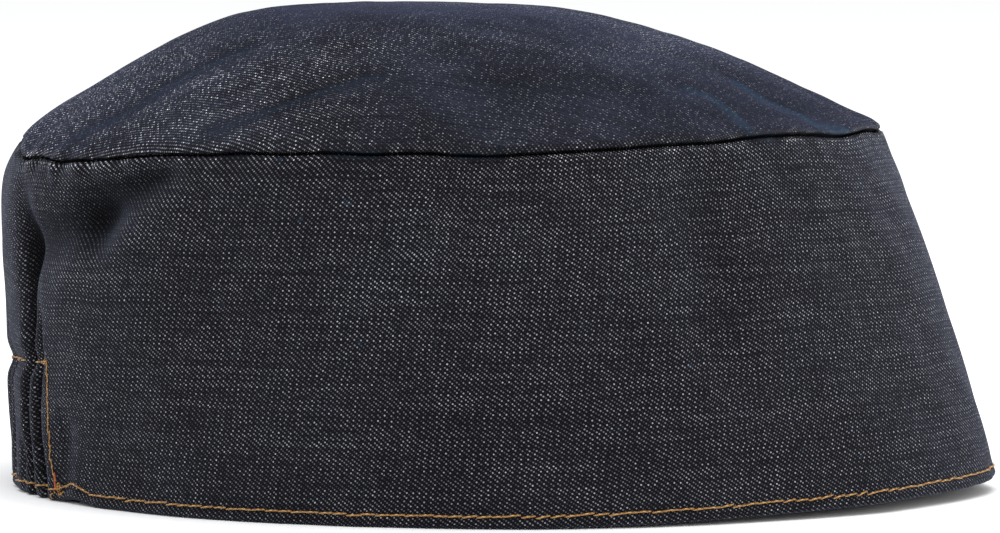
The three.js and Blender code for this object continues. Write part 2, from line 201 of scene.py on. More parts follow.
# Topstitching
THREAD = 0.2  # radius
THREAD_SIDES = 7
THREAD_NARROWS = 0.45  # share of its radius that a stitch loses at its ends
END_THREAD = 0.8  # thickness of the thread at the casing's ends and of the rust one below it, as shares of it
RUST_THREAD = 1.4
STITCH = 2.9
STITCH_POINTS = 9
STITCH_GAP = -0.1  # below 0, stitches overlap at their ends
STITCH_LOOSE = 0.12  # how far a stitch's ends miss their places
STITCH_RISE = 0.75  # how far its middle stands out, in radii
STITCH_DIVE = 14  # how suddenly its ends dive into the cloth
FRONT_GAP = 0.5  # from the hem's stitches to the middle of the front
CASING_LINE_WAVE = 0.25
CASING_LINE_LENGTH = 6.5
LEAN_FROM = 10.0  # height below which the casing's end line leans
HEM_LINE = 2.6  # height of the hem's stitching
HEM_GROOVE = 0.22
GROOVE_HALF = 0.9

# Tangles of thread where the casing's end line meets the other two
UPPER_KNOT = {"size": 0.9, "loops": 4}
LOWER_KNOT = {"size": 1.9, "loops": 8}
KNOT_POINTS = 18
KNOT_AWAY = 0.3  # how far the lower one lies outside that corner, and below it
KNOT_BELOW = 0.5

# What the meshes tell the materials: flat cloth in millimetres, painted shade in hollows and the seam's
# groove, painted sheen on creases and along the seam, and frayed weft
CLOTH_MAP = "cloth"
SHADE_MARK = "painted_shade"
SHEEN_MARK = "painted_sheen"
FRAY = "fray"
SHADE_FULL_DEPTH = 3.6  # the depth at which the painted shade is full
SHADE_MOST = 1.8  # how dark the painted shade can get, as a share of full
SHADOW_SPREAD = 0.8  # width of the painted shadow on a gather's floor, as a share of its own width
SHADOW_TIMES = 1.9  # how much darker its painted shadow is than that of a dent of that depth

# Mesh fineness
TURN_STEP = 0.004  # between the angles that give a direction, in radians
HEM_STEPS = 720
HEM_ROLL_ROWS = 7
HEM_ROWS = 9
PANEL_FROM = HEM_TURN + 1  # height at which the band's even rows begin, just over its turned hem
PANEL_TO = 0.94  # share of its height to which they run
EDGE_FROM = 3.6  # distance below the seam at which the rows of its edge begin
EDGE_ROWS = 6
ROLL_TURNS = 7
ROLL_ROW = 2  # marks rows that are measured from the seam
GATHER_STEP = 0.75
PLAIN_STEP = 1.25
GATHER_REACH = 72.0
CROWN_COLUMNS = 520
BAND_ROWS = 84
GAUGE_ROW = HEM_ROLL_ROWS + HEM_ROWS + BAND_ROWS // 3  # its length gives the cloth coordinates round the band
INNER_ROWS = 26
CROWN_ROWS = 96
CROWN_CROWDING = 1.35  # how much closer the crown's rows lie near the seam
CROWN_INNER_ROWS = 40
ELASTIC_ROWS = 22
CASING_ROWS = 26


def read(table, key, column, at):
    """A smooth curve through one column of a table, read at any values of its key column."""
    keys = np.array([row[key] for row in table], float)
    values = np.array([row[column] for row in table], float)
    last = len(keys) - 1
    low, high = np.maximum(np.arange(last + 1) - 1, 0), np.minimum(np.arange(last + 1) + 1, last)
    slopes = (values[high] - values[low]) / (keys[high] - keys[low])
    at = np.clip(at, keys[0], keys[-1])
    i = np.clip(np.searchsorted(keys, at, side="right") - 1, 0, last - 1)
    span = keys[i + 1] - keys[i]
    t = (at - keys[i]) / span
    start, end = slopes[i] * span, slopes[i + 1] * span
    return (
        (2 * t**3 - 3 * t**2 + 1) * values[i]
        + (t**3 - 2 * t**2 + t) * start
        + (3 * t**2 - 2 * t**3) * values[i + 1]
        + (t**3 - t**2) * end
    )


def smooth(low, high, value):
    t = np.clip((value - low) / (high - low), 0, 1)
    return t * t * (3 - 2 * t)


def bell(distance, width):
    return np.exp(-((distance / width) ** 2))


def mix(a, b, share):
    return a + (b - a) * share


def waves(kind, x, y, z):
    """A sum of plane waves through space, of about the kind's length and height"""
    draw = np.random.RandomState(kind["seed"])
    total = 0
    for _ in range(WAVES_ADDED):
        way = draw.normal(size=3)
        way *= math.tau / (kind["length"] * draw.uniform(*WAVE_LENGTHS) * np.linalg.norm(way))
        total = total + np.sin(way[0] * x + way[1] * y + way[2] * z + draw.uniform(0, math.tau))
    return kind["height"] * total * math.sqrt(2 / WAVES_ADDED)


def patches(kind, x, y, z):
    return smooth(kind["begin"], kind["full"], waves(kind, x, y, z))


def outline(angle, height):
    """The band's plan at a height: angle 0 is the front, and it turns towards +Y."""
    ahead = np.cos(angle)
    reach = np.where(ahead > 0, read(BAND, "height", "front", height), read(BAND, "height", "back", height))
    taper, point = read(BAND, "height", "taper", height), read(BAND, "height", "point", height)
    front = 1 - taper * ahead**2 - point * ahead**POINT_SHARPNESS
    width = np.where(ahead > 0, front, 1 + BACK_FULLNESS * ahead**2)
    return reach * ahead, read(BAND, "height", "side", height) * np.sin(angle) * width


def outward(angle, height):
    """The direction that the band's outer face looks in at an angle and height, in plan"""
    (x1, y1), (x0, y0) = outline(angle + TURN_STEP, height), outline(angle - TURN_STEP, height)
    length = np.hypot(x1 - x0, y1 - y0)
    return (y1 - y0) / length, (x0 - x1) / length


hem_turns = np.linspace(0, math.pi, HEM_STEPS + 1)
hem_x, hem_y = outline(math.pi - hem_turns, np.zeros(HEM_STEPS + 1))
hem_lengths = np.concatenate([[0], np.cumsum(np.hypot(np.diff(hem_x), np.diff(hem_y)))])
HALF_HEM = hem_lengths[-1]


def angle_at(place):
    """The angle at a signed place along the hem, from the middle of the back and positive on the +Y side."""
    turn = np.interp(np.abs(place), hem_lengths, hem_turns)
    return math.pi - np.sign(place) * turn


def from_front(angle):
    """The angle from the front on either side, in degrees"""
    return np.degrees(np.abs(np.arctan2(np.sin(angle), np.cos(angle))))


def seam_height(angle):
    level = read(SEAM, "angle", "height", from_front(angle))
    x, y = outline(angle, level)
    return level + waves(SEAM_WANDER, x, y, level)


def distance_to_line(x, y, ax, ay, bx, by):
    dx, dy = bx - ax, by - ay
    t = np.clip(((x - ax) * dx + (y - ay) * dy) / (dx * dx + dy * dy), 0, 1)
    return np.hypot(x - ax - t * dx, y - ay - t * dy)


def casing_top(place):
    """Height of the casing's upper line of stitching"""
    return CASING_TOP - CASING_SAG * np.maximum(0, 1 - (place / CASING_HALF) ** 2)


def gather_depth(place, height, spread=1.0):
    """How deep the gathers are at places and heights, each with its width times spread"""
    foot = mix(GATHER_AT_HEM, 1, smooth(0, HEM_TURN, height))
    depth = 0
    for g in GATHERS:
        lean = g["lean"] * np.minimum(height / CASING_TOP, 1)
        lean = lean + g["turn"] * (1 - smooth(0, GATHER_FOOT, height))
        sway = GATHER_SWAY * np.sin(height / GATHER_SWAY_LENGTH + g["place"])
        width = mix(g["width"], g["above"], smooth(WIDEN_FROM, WIDEN_TO, height))
        rise = 1 - smooth(g["tip"] * GATHER_FADE, g["tip"], height)
        depth = depth + g["depth"] * rise * foot * bell(place - g["place"] - lean - sway, width * spread)
    return depth


def dent_depth(place, height, top):
    depth = 0
    for d in DENTS:
        away = distance_to_line(place, height, d["from"], d["low"], d["to"], d["high"])
        depth = depth + d["depth"] * bell(away, d["width"])
    return depth * (1 - smooth(top - SEAM_HOLD, top, height))


def band_relief(signed_place, height, top):
    """How far gathers, the pinch of the elastic, dents and stitching move the band's cloth outwards."""
    place = np.abs(signed_place)
    casing = 1 - smooth(CASING_HALF - CASING_END, CASING_HALF, place)
    relief = -gather_depth(place, height) - dent_depth(place, height, top)
    relief = relief - PINCH * casing * bell(height - casing_top(place), PINCH_HEIGHT)
    relief = relief + CASING_BULGE * casing * bell(height - CASING_TOP / 2, CASING_TOP / 3)
    return relief - HEM_GROOVE * bell(height - HEM_LINE, GROOVE_HALF)


def seam_pucker(angle, x, y, z):
    more = 1 + (PUCKERED_TIMES - 1) * bell(from_front(angle) - PUCKERED_ANGLE, PUCKERED_HALF)
    return more * waves(SEAM_PUCKER, x, y, z)


def seam_painted_sheen(distance, x, y, z):
    """Patches of painted sheen along the seam, at a distance from it"""
    return SEAM_SHEEN * bell(distance, SEAM_SHEEN_REACH) * patches(SHEEN_PATCH, x, y, z)


def seam_fray(distance, angle, x, y, z):
    """How much white weft stands out along the seam, at a distance from it"""
    stretch = mix(FRAY_ELSEWHERE, 1, bell(from_front(angle) - PUCKERED_ANGLE, PUCKERED_HALF))
    return bell(distance - FRAY_FROM_SEAM, FRAY_REACH) * stretch * patches(FRAY_PATCH, x, y, z)


def hem_lift(x, place):
    front = FRONT_LIFT * np.clip((x - LIFT_FROM) / (BAND[0]["front"] - LIFT_FROM), 0, 1) ** LIFT_CURVE
    return front + NOTCH * bell(np.abs(place) - NOTCH_PLACE, NOTCH_HALF)


def band_point(place, height, inset, top=None):
    """Points of the band's cloth at signed places along the hem and at heights, inset from its outer face"""
    angle = angle_at(place)
    top = seam_height(angle) if top is None else top
    x, y = outline(angle, height)
    out_x, out_y = outward(angle, height)
    free = 1 - smooth(top - SEAM_HOLD, top, height)
    relief = band_relief(place, height, top)
    relief = relief + free * waves(BAND_SWELL, x, y, height) + waves(BAND_RIPPLE, x, y, height) * free
    relief = relief + bell(top - height, SEAM_PUCKER_REACH) * seam_pucker(angle, x, y, PUCKER_RISE * height)
    low = 1 - smooth(HEM_LINE, HEM_LINE + HEM_PUCKER_REACH, height)
    relief = relief + low * waves(HEM_PUCKER, x, y, height)
    x, y = x + out_x * (relief - inset), y + out_y * (relief - inset)
    lift = hem_lift(x, place) * (1 - smooth(0, top, height))
    return np.stack([x, y, height + lift], -1)


def seam_point(angle, drop, inset):
    """Points of either panel at their seam, drop below its height and inset from the outer face"""
    level = seam_height(angle)
    x, y = outline(angle, level)
    out_x, out_y = outward(angle, level)
    return x - out_x * inset, y - out_y * inset, level - drop


def distance_to_path(x, y, path):
    return np.min([distance_to_line(x, y, *a, *b) for a, b in zip(path, path[1:])], axis=0)


def crown_height(angle, share, x, y):
    c, s = np.cos(angle), np.sin(angle)
    height = mix(CROWN_LEVEL, seam_height(angle), share**RIM_BLEND)
    height = height + np.maximum(0, -c) ** 2 * read(CROWN, "share", "back", share)
    height = height + np.maximum(0, c) ** 2 * read(CROWN, "share", "front", share)
    height = height + s**2 * read(CROWN, "share", "side", share)
    free = 1 - share**RIM_HOLD
    for f in CROWN_FOLDS:
        height = height - f["depth"] * bell(distance_to_path(x, np.abs(y), f["path"]), f["width"]) * free
    return height + free * (waves(CROWN_SWELL, x, y, height) + waves(CROWN_RIPPLE, x, y, height))


def crown_point(angle, share, drop, inset):
    """Points of the crown's cloth: share is the way out to the seam, drop how far below its outer face."""
    over = np.maximum(0, read(CROWN, "share", "side", share))
    roll = CROWN_ROLL * bell(over - CROWN_ROLL_HALF, CROWN_ROLL_HALF) * smooth(CROWN_ROLL_FROM, 1, share)
    rim_x, rim_y, _ = seam_point(angle, 0, inset)
    out_x, out_y = outward(angle, seam_height(angle))
    pucker = bell(over, SEAM_PUCKER_REACH) * seam_pucker(angle, rim_x, rim_y, 0)
    x = mix(CROWN_MIDDLE_X, rim_x, share) + out_x * (roll + pucker)
    y = rim_y * share + out_y * (roll + pucker)
    return np.stack([x, y, crown_height(angle, share, x, y) - drop], -1)


def add_object(name, data):
    made = bpy.data.objects.new(name, data)
    bpy.context.scene.collection.objects.link(made)
    return made


def mesh_object(name, points, faces, corners, materials, face_materials=None, marks=None):
    """A smooth-shaded mesh object from points in millimetres. corners are the cloth coordinates of each face
    corner, in millimetres of flat cloth, and marks are named values of each point."""
    mesh = bpy.data.meshes.new(name)
    mesh.from_pydata(np.asarray(points) * MM, [], faces)
    layer = mesh.uv_layers.new(name=CLOTH_MAP)
    layer.uv.foreach_set("vector", np.asarray(corners, np.float32).ravel())
    for material in materials:
        mesh.materials.append(material)
    if face_materials is not None:
        mesh.polygons.foreach_set("material_index", np.asarray(face_materials, np.int32))
    for mark, values in (marks or {}).items():
        layer = mesh.attributes.new(mark, "FLOAT", "POINT")
        layer.data.foreach_set("value", np.asarray(values, np.float32).ravel())
    mesh.shade_smooth()
    mesh.update()
    return add_object(name, mesh)


def grid_faces(rows, columns, closed_rows, closed_columns):
    """Quads between rows and columns of points, and the row and column of each of their corners. The corner's
    column isn't wrapped, so that cloth coordinates can run on past the last column."""
    r = np.arange(rows if closed_rows else rows - 1)
    c = np.arange(columns if closed_columns else columns - 1)
    r, c = [a.ravel() for a in np.meshgrid(r, c, indexing="ij")]
    at_rows = np.stack([r, r, r + 1, r + 1], 1)
    at_columns = np.stack([c, c + 1, c + 1, c], 1)
    faces = (at_rows % rows) * columns + at_columns % columns
    return faces, at_rows, at_columns


def ride(piece, slot, *nodes):
    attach(piece, BODY)
    if nodes:
        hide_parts(*nodes)
    return piece


class Nodes:
    """Writes a material's nodes as a chain of calls. Each returns the output socket of the node it made."""

    def __init__(self, name):
        self.material = bpy.data.materials.new(name)
        self.material.use_nodes = True
        self.tree = self.material.node_tree
        self.shader = self.tree.nodes["Principled BSDF"].inputs

    def add(self, kind, inputs, output=0, **settings):
        node = self.tree.nodes.new(kind)
        for key, value in settings.items():
            setattr(node, key, value)
        for key, value in inputs.items():
            self.put(node.inputs[key], value)
        return node.outputs[output]

    def put(self, socket, value):
        if isinstance(value, bpy.types.NodeSocket):
            self.tree.links.new(value, socket)
        else:
            socket.default_value = value

    def finish(self, **inputs):
        """The material, with the shader's inputs set: their names in lower case, with _ for spaces"""
        names = {key.lower().replace(" ", "_"): key for key in self.shader.keys()}
        for name, value in inputs.items():
            self.put(self.shader[names[name]], value)
        return self.material

    def math(self, operation, *values):
        return self.add("ShaderNodeMath", dict(enumerate(values)), operation=operation)

    def times(self, value, *factors):
        for factor in factors:
            value = self.math("MULTIPLY", value, factor)
        return value

    def noise(self, vector, scale, detail=2.0, roughness=0.5):
        inputs = {"Vector": vector, "Scale": scale, "Detail": detail, "Roughness": roughness}
        return self.add("ShaderNodeTexNoise", inputs)

    def combine(self, x, y):
        return self.add("ShaderNodeCombineXYZ", {"X": x, "Y": y})

    def split(self, vector):
        """The vector's X and Y"""
        x = self.add("ShaderNodeSeparateXYZ", {"Vector": vector})
        return x, x.node.outputs["Y"]

    def cloth(self):
        return self.add("ShaderNodeUVMap", {}, uv_map=CLOTH_MAP)

    def remap(self, value, low, high, to_low=0.0, to_high=1.0):
        names = {"Value": value, "From Min": low, "From Max": high, "To Min": to_low, "To Max": to_high}
        return self.add("ShaderNodeMapRange", names, interpolation_type="SMOOTHSTEP")

    def blend(self, factor, a, b):
        return self.add("ShaderNodeMix", {0: factor, 6: a, 7: b}, 2, data_type="RGBA")

    def scaled(self, colour, factor):
        return self.add("ShaderNodeVectorMath", {0: colour, "Scale": factor}, operation="SCALE")


# The weave: a twill in which each white weft yarn shows over every third indigo warp yarn
WEFT_PITCH = 0.43  # between weft yarns, along the warp
WARP_PITCH = 0.337  # between warp yarns
TWILL = 3
DOT_ALONG = 0.44  # half sizes of a dot of weft, along and across the warp, in pitches
DOT_ACROSS = 0.56
YARN_DRIFT = 1.3  # how far the yarns wander
YARN_DRIFT_FINENESS = 0.11
YARN_TURN = 0.618  # share of a cycle between warp yarns, so that strong ones lie between weak ones
YARN_TURN_DRIFT = 0.9

# How fast a yarn changes along its length, and how little it is like the next one
LONG_RUN = {"along": 0.035, "step": 7.31, "detail": 1.0}
SHORT_RUN = {"along": 0.22, "step": 3.77, "detail": 2.0}
WEFT_RUN = {"along": 0.12, "step": 5.17, "detail": 1.0}

# Fineness of patches with more and less weft, of rubbed spots and of the yarns' fibres
CLOTH_PATCH = 0.028
RUBBED_SPOT = 0.33
FIBRE = 6.0

INDIGO = (0.0029, 0.0027, 0.0038, 1)
BAND_WORN = (0.0048, 0.0050, 0.0085, 1)
# The crown's paler, bluer warp is painted sheen
CROWN_SHEEN_INDIGO = (0.0210, 0.0240, 0.0410, 1)
RUBBED_AND_SHEEN_INDIGO = (0.0110, 0.0280, 0.0480, 1)  # of random rubbed spots, and the blue of painted sheen on folds and along the seam
WEFT = (0.176, 0.178, 0.190)
BAND_FUZZ = (0.52, 0.57, 0.86, 1)
CROWN_FUZZ = (0.22, 0.33, 1.0, 1)


def denim(name, reverse=False, dots=1.0, faint=0.42, rarity=1.0, worn_and_sheen_indigo=BAND_WORN, nap=0.1,
          fuzz=BAND_FUZZ, nap_spread=0.3):
    """Woven cloth. On its reverse the white weft covers what the indigo warp covers on its face. dots is the
    weft's strength, faint its least share, rarity makes its strong places rare, worn_and_sheen_indigo is the
    warp's paler colour, which is wear on the band and painted sheen on the crown, nap the sheen's weight,
    fuzz its colour and nap_spread its roughness."""
    n = Nodes(name)
    cloth = n.cloth()
    drift = n.noise(cloth, YARN_DRIFT_FINENESS).node.outputs["Color"]
    bent = n.add("ShaderNodeVectorMath", {0: drift, 1: (0.5, 0.5, 0.5)}, operation="SUBTRACT")
    moved = n.add("ShaderNodeVectorMath", {0: cloth, 1: n.scaled(bent, YARN_DRIFT)}, operation="ADD")
    along_mm, across_mm = n.split(moved)
    along, across = n.math("DIVIDE", along_mm, WEFT_PITCH), n.math("DIVIDE", across_mm, WARP_PITCH)
    weft, warp = n.math("FLOOR", along), n.math("FLOOR", across)
    place_x = n.math("SUBTRACT", n.math("FRACT", along), 0.5)
    place_y = n.math("SUBTRACT", n.math("FRACT", across), 0.5)
    float_at = n.math("FLOORED_MODULO", n.math("ADD", weft, warp), TWILL)
    shows = n.math("LESS_THAN", n.math("ABSOLUTE", n.math("SUBTRACT", float_at, 1.0)), 0.5)
    dot_x, dot_y = n.math("DIVIDE", place_x, DOT_ALONG), n.math("DIVIDE", place_y, DOT_ACROSS)
    reach = n.math("ADD", n.times(dot_x, dot_x), n.times(dot_y, dot_y))
    dot = n.times(shows, n.remap(reach, 1.15, 0.35))

    # Yarns differ: a warp yarn shows much or little weft over a long way, and each dot has its own brightness
    chance = n.add("ShaderNodeTexWhiteNoise", {"Vector": n.combine(weft, warp)}, noise_dimensions="2D")
    long_run, short_run = (
        n.noise(n.combine(n.times(along_mm, run["along"]), n.times(warp, run["step"])), 1.0, run["detail"])
        for run in (LONG_RUN, SHORT_RUN)
    )
    weft_place = n.combine(n.times(weft, WEFT_RUN["step"]), n.times(across_mm, WEFT_RUN["along"]))
    weft_run = n.noise(weft_place, 1.0, WEFT_RUN["detail"])
    patch = n.noise(cloth, CLOTH_PATCH, 3.0, 0.6)
    painted_shade, painted_sheen, fray = (
        n.add("ShaderNodeAttribute", {}, "Fac", attribute_name=mark) for mark in (SHADE_MARK, SHEEN_MARK, FRAY)
    )
    turn = n.math("ADD", n.times(warp, YARN_TURN), n.times(long_run, YARN_TURN_DRIFT))
    swing = n.math("ABSOLUTE", n.math("SUBTRACT", n.times(n.math("FRACT", turn), 2.0), 1.0))
    bright = n.times(
        n.remap(swing, 0.05, 0.95, 0.22, 1.1),
        n.remap(long_run, 0.3, 0.7, 0.9, 1.1),
        n.remap(short_run, 0.3, 0.7, 0.75, 1.25),
        n.remap(weft_run, 0.3, 0.7, 0.75, 1.25),
        n.remap(n.math("POWER", chance, rarity), 0.0, 1.0, faint, faint + 1.0),
        n.remap(patch, 0.3, 0.7, 0.9 * dots, 1.08 * dots),
    )
    # Random paler warp: wear on the band, painted sheen on the crown
    wear_and_sheen = n.times(n.remap(swing, 0.0, 1.0, 0.3, 0.8), n.remap(patch, 0.3, 0.7, 0.1, 1.0))
    base = n.blend(wear_and_sheen, INDIGO, worn_and_sheen_indigo)
    if reverse:
        cover = n.math("SUBTRACT", 1.0, n.times(dot, 0.8))
        light = n.scaled(WEFT, n.remap(bright, 0.1, 1.2, 0.4, 0.9))
        colour = n.blend(n.times(cover, 0.8), base, light)
    else:
        # Random rubbed spots, and painted sheen that turns the cloth blue and hides the weft dots on folds
        # and by the seam
        spot = n.remap(n.noise(cloth, RUBBED_SPOT), 0.68, 0.8, 0.0, 0.5)
        base = n.blend(n.math("MAXIMUM", spot, n.remap(painted_sheen, 0.65, 1.15)), base, RUBBED_AND_SHEEN_INDIGO)
        shown = n.times(bright, n.remap(painted_sheen, 0.1, 0.8, 1.0, 0.2))
        shown = n.times(shown, n.math("ADD", 1.0, n.times(fray, FRAY_LIGHT)))
        colour = n.blend(dot, base, n.scaled(WEFT, shown))
        # Painted shade: darker where the mesh marks dents, the gathers' floors and the seam's groove
        colour = n.scaled(colour, n.remap(painted_shade, 0.05, 0.95, 1.0, 0.28))
        colour = n.scaled(colour, n.remap(painted_shade, 0.85, 1.7, 1.0, 0.35))

    yarn = n.math("SUBTRACT", 1.0, n.times(place_y, place_y, 3.0))
    height = n.math("ADD", n.times(yarn, 0.6), n.times(dot, 0.5))
    height = n.math("ADD", height, n.times(n.noise(cloth, FIBRE), 0.35))
    bump = n.add("ShaderNodeBump", {"Strength": 0.55, "Distance": 0.00012, "Height": height})
    return n.finish(base_color=colour, normal=bump, roughness=0.9, specular_ior_level=0.06, sheen_weight=nap,
                    sheen_roughness=nap_spread, sheen_tint=fuzz)


PLIES_PER_MM = 7.5
THREAD_PATCH = 1.1  # fineness of the thread's random dark places and of its painted highlights
COPPER = {"colour": (0.93, 0.47, 0.09, 1), "deep": (0.12, 0.04, 0.006, 1), "glint_colour": (1.0, 0.66, 0.26, 1)}
RUST = {"colour": (0.85, 0.2, 0.012, 1), "deep": (0.25, 0.035, 0.003, 1), "glint_colour": (0.95, 0.4, 0.05, 1)}


def thread(name, colour, deep, glint_colour):
    """Twisted topstitching thread, with its plies running round it. deep is its colour in random dark places
    and the painted shade between its plies; the last colour is a painted highlight on the tops of its plies,
    in random places."""
    n = Nodes(name)
    place = n.cloth()
    along, around = n.split(place)
    turn = n.math("ADD", n.times(along, PLIES_PER_MM), around)
    ply = n.math("SINE", n.times(turn, math.tau))
    patch = n.noise(place, THREAD_PATCH)
    # Painted shade between the plies, and painted highlights on their tops in random places
    shade = n.times(n.remap(ply, -1.0, 0.6, 0.2, 1.0), n.remap(patch, 0.35, 0.6, 0.05, 1.0))
    painted_glint = n.times(n.remap(patch, 0.48, 0.68), n.remap(ply, -1.0, 1.0, 0.5, 1.0))
    seen = n.blend(painted_glint, n.blend(shade, deep, colour), glint_colour)
    bump = n.add("ShaderNodeBump", {"Strength": 0.8, "Distance": 0.0001, "Height": ply})
    return n.finish(base_color=seen, normal=bump, roughness=0.55, sheen_weight=0.08)


RIB_PITCH = 1.1  # of the elastic, across and along it
KNIT_PITCH = 0.7
WEB_DEEP = (0.42, 0.41, 0.38, 1)
WEB_PALE = (0.72, 0.70, 0.66, 1)


def webbing(name):
    """Ribbed elastic webbing"""
    n = Nodes(name)
    along, across = n.split(n.cloth())
    rib = n.math("SINE", n.times(across, math.tau / RIB_PITCH))
    knit = n.math("SINE", n.times(along, math.tau / KNIT_PITCH))
    shade = n.remap(n.math("ADD", rib, n.times(knit, 0.5)), -1.5, 1.2)
    bump = n.add("ShaderNodeBump", {"Strength": 0.8, "Distance": 0.0003, "Height": shade})
    return n.finish(base_color=n.blend(shade, WEB_DEEP, WEB_PALE), normal=bump, roughness=0.8)


# Materials of a sheet: its face, its reverse, its face without sheen as painted shade in the seam's groove,
# and the crown's lip, which stands as steep as the band and so shows the band's face, without the crown's
# painted sheen
FACE, REVERSE, SHADED_GROOVE, LIP = 0, 1, 2, 3
GROOVE_TURN = 0.7  # how far round its roll a sheet's edge goes into that painted shade, in radians
LIP_HEIGHT = 1.7  # how far over the seam the lip reaches
QUARTER = math.pi / 2


def band_section():
    """Rows round the band's cloth: height as a share of the seam's, a rise added to it, the inset, and which
    of its materials shows"""
    half = HEM_LAYERS / 2
    turns = np.linspace(0.15, QUARTER, HEM_ROLL_ROWS)
    rows = [(0, HEM_ROLL * (1 - math.cos(t)), half * (1 - math.sin(t)), FACE) for t in turns]
    rows += [(0, rise, 0, FACE) for rise in np.linspace(HEM_ROLL + 0.4, PANEL_FROM, HEM_ROWS)]
    rows += [(share, (1 - share) * PANEL_FROM, 0, FACE) for share in np.linspace(0, PANEL_TO, BAND_ROWS)[1:]]
    rows += [(ROLL_ROW, -drop, 0, FACE) for drop in np.linspace(EDGE_FROM, EDGE_ROUND, EDGE_ROWS)]
    for t in np.linspace(0, QUARTER, ROLL_TURNS)[1:]:
        rise = -EDGE_ROUND + (EDGE_ROUND - SEAM_GAP / 2) * math.sin(t)
        rows.append((1, rise, EDGE_ROUND * (1 - math.cos(t)), FACE if t < GROOVE_TURN else SHADED_GROOVE))

    # The allowance, turned in, and the reverse down to the turned hem
    for s in (0.25, 0.5, 0.75, 1):
        rows.append((1, -SEAM_GAP / 2 - ALLOWANCE_DROP * s, mix(EDGE_ROUND, ALLOWANCE, s), SHADED_GROOVE))
    under = -SEAM_GAP / 2 - CLOTH
    rows += [(1, under - ALLOWANCE_DROP * s, mix(CLOTH, ALLOWANCE, s), REVERSE) for s in (1, 0.6, 0.2)]
    down = np.linspace(0.955, 0, INNER_ROWS)
    rows += [(share, (1 - share) * PANEL_FROM, CLOTH, REVERSE) for share in down]
    rows += [(0, HEM_TURN, HEM_LAYERS, FACE)]
    rows += [(0, rise, HEM_LAYERS, FACE) for rise in np.linspace(HEM_TURN - 0.4, HEM_ROLL, 7)]
    turns = np.linspace(0.25, QUARTER - 0.1, 5)
    rows += [(0, HEM_ROLL * (1 - math.sin(t)), half * (1 + math.cos(t)), FACE) for t in turns]
    return rows


def band_places():
    """Signed places of the band's columns, from the middle of the front round by +Y, the back and -Y"""
    near = np.linspace(GATHER_REACH, -GATHER_REACH, round(2 * GATHER_REACH / GATHER_STEP) + 1)
    far = np.linspace(HALF_HEM, GATHER_REACH, round((HALF_HEM - GATHER_REACH) / PLAIN_STEP) + 1)
    return np.concatenate([far[:-1], near, -far[::-1][1:-1]])


def unit(vectors):
    return vectors / np.linalg.norm(vectors, axis=1)[:, None]


def running(points, axis):
    """Lengths along a row or column of points, from its first"""
    steps = np.linalg.norm(np.diff(points, axis=axis), axis=-1)
    start = np.zeros_like(np.take(steps, [0], axis))
    return np.cumsum(np.concatenate([start, steps], axis), axis)


def make_band(*materials):
    section = band_section()
    places = band_places()
    angles = angle_at(places)
    tops = seam_height(angles)
    out_x, out_y = outward(angles, tops)
    points, painted_shades, painted_sheens, frays = [], [], [], []
    for share, rise, inset, shown in section:
        heights = tops + rise if share == ROLL_ROW else share * tops + rise
        if share == 1:
            x, y, z = seam_point(angles, -rise, inset)
            pucker = seam_pucker(angles, x, y, PUCKER_RISE * z) * bell(rise, SEAM_PUCKER_REACH)
            points.append(np.stack([x + out_x * pucker, y + out_y * pucker, z], -1))
        else:
            points.append(band_point(places, heights, inset, tops))
        # Painted shade in dents, on the gathers' floors and in the seam's groove, on the face only
        depth = dent_depth(np.abs(places), heights, tops)
        depth = depth + SHADOW_TIMES * gather_depth(np.abs(places), heights, SHADOW_SPREAD)
        painted_shade = np.maximum(np.clip(depth / SHADE_FULL_DEPTH, 0, SHADE_MOST), bell(tops - heights, SEAM_SHADE))
        painted_shades.append(painted_shade * (shown != REVERSE))
        # Painted sheen in patches by the seam, and frayed weft there
        painted_sheens.append(seam_painted_sheen(tops - heights, *points[-1].T))
        frays.append(seam_fray(tops - heights, angles, *points[-1].T))
    points = np.array(points)
    rows, columns = points.shape[:2]
    faces, at_rows, at_columns = grid_faces(rows, columns, True, True)
    around = running(np.concatenate([points, points[:, :1]], 1)[GAUGE_ROW], 0)
    up = running(np.concatenate([points, points[:1]], 0), 0).mean(1)
    corners = np.stack([around[at_columns], up[at_rows]], -1)
    sides = np.array([row[3] for row in section])[at_rows[:, 0] % rows]
    return mesh_object("band_cloth", points.reshape(-1, 3), faces[:, ::-1].tolist(), corners[:, ::-1],
                       materials, sides, {SHADE_MARK: painted_shades, SHEEN_MARK: painted_sheens, FRAY: frays})


def crown_section():
    """Rows from the middle of the crown's underside out to the allowance, round the seam and up to the top:
    share of the way out, drop below the outer face, inset at the rim, and which of its materials shows"""
    edge = CROWN[-1]["side"] - SEAM_GAP / 2
    inner = np.linspace(0.02, 0.96, CROWN_INNER_ROWS)
    rows = [(share, CLOTH * CROWN_SLANT, CLOTH, REVERSE) for share in inner]
    for s in (0, 0.5, 1):
        rows.append((1, edge - CLOTH + ALLOWANCE_DROP * s, mix(EDGE_ROUND + CLOTH, ALLOWANCE, s), REVERSE))
    rows += [(1, edge + ALLOWANCE_DROP * s, mix(EDGE_ROUND, ALLOWANCE, s), SHADED_GROOVE) for s in (1, 0.6, 0.3)]
    for t in np.linspace(0, QUARTER, ROLL_TURNS):
        shown = LIP if t > QUARTER - GROOVE_TURN else SHADED_GROOVE
        rows.append((1, edge * math.cos(t), EDGE_ROUND * (1 - math.sin(t)), shown))
    outer = 1 - np.linspace(0, 1, CROWN_ROWS) ** CROWN_CROWDING
    for share in outer[1:-1]:
        rows.append((share, 0, 0, LIP if read(CROWN, "share", "side", share) < LIP_HEIGHT else FACE))
    return rows


def over_seam(angles, section):
    """Heights of the crown's rows over the lower end of its roll, at some angles"""
    lift = [np.maximum(0, read(CROWN, "share", "side", share)) - drop for share, drop, _, _ in section]
    return np.array(lift)[:, None] + np.zeros(len(angles))


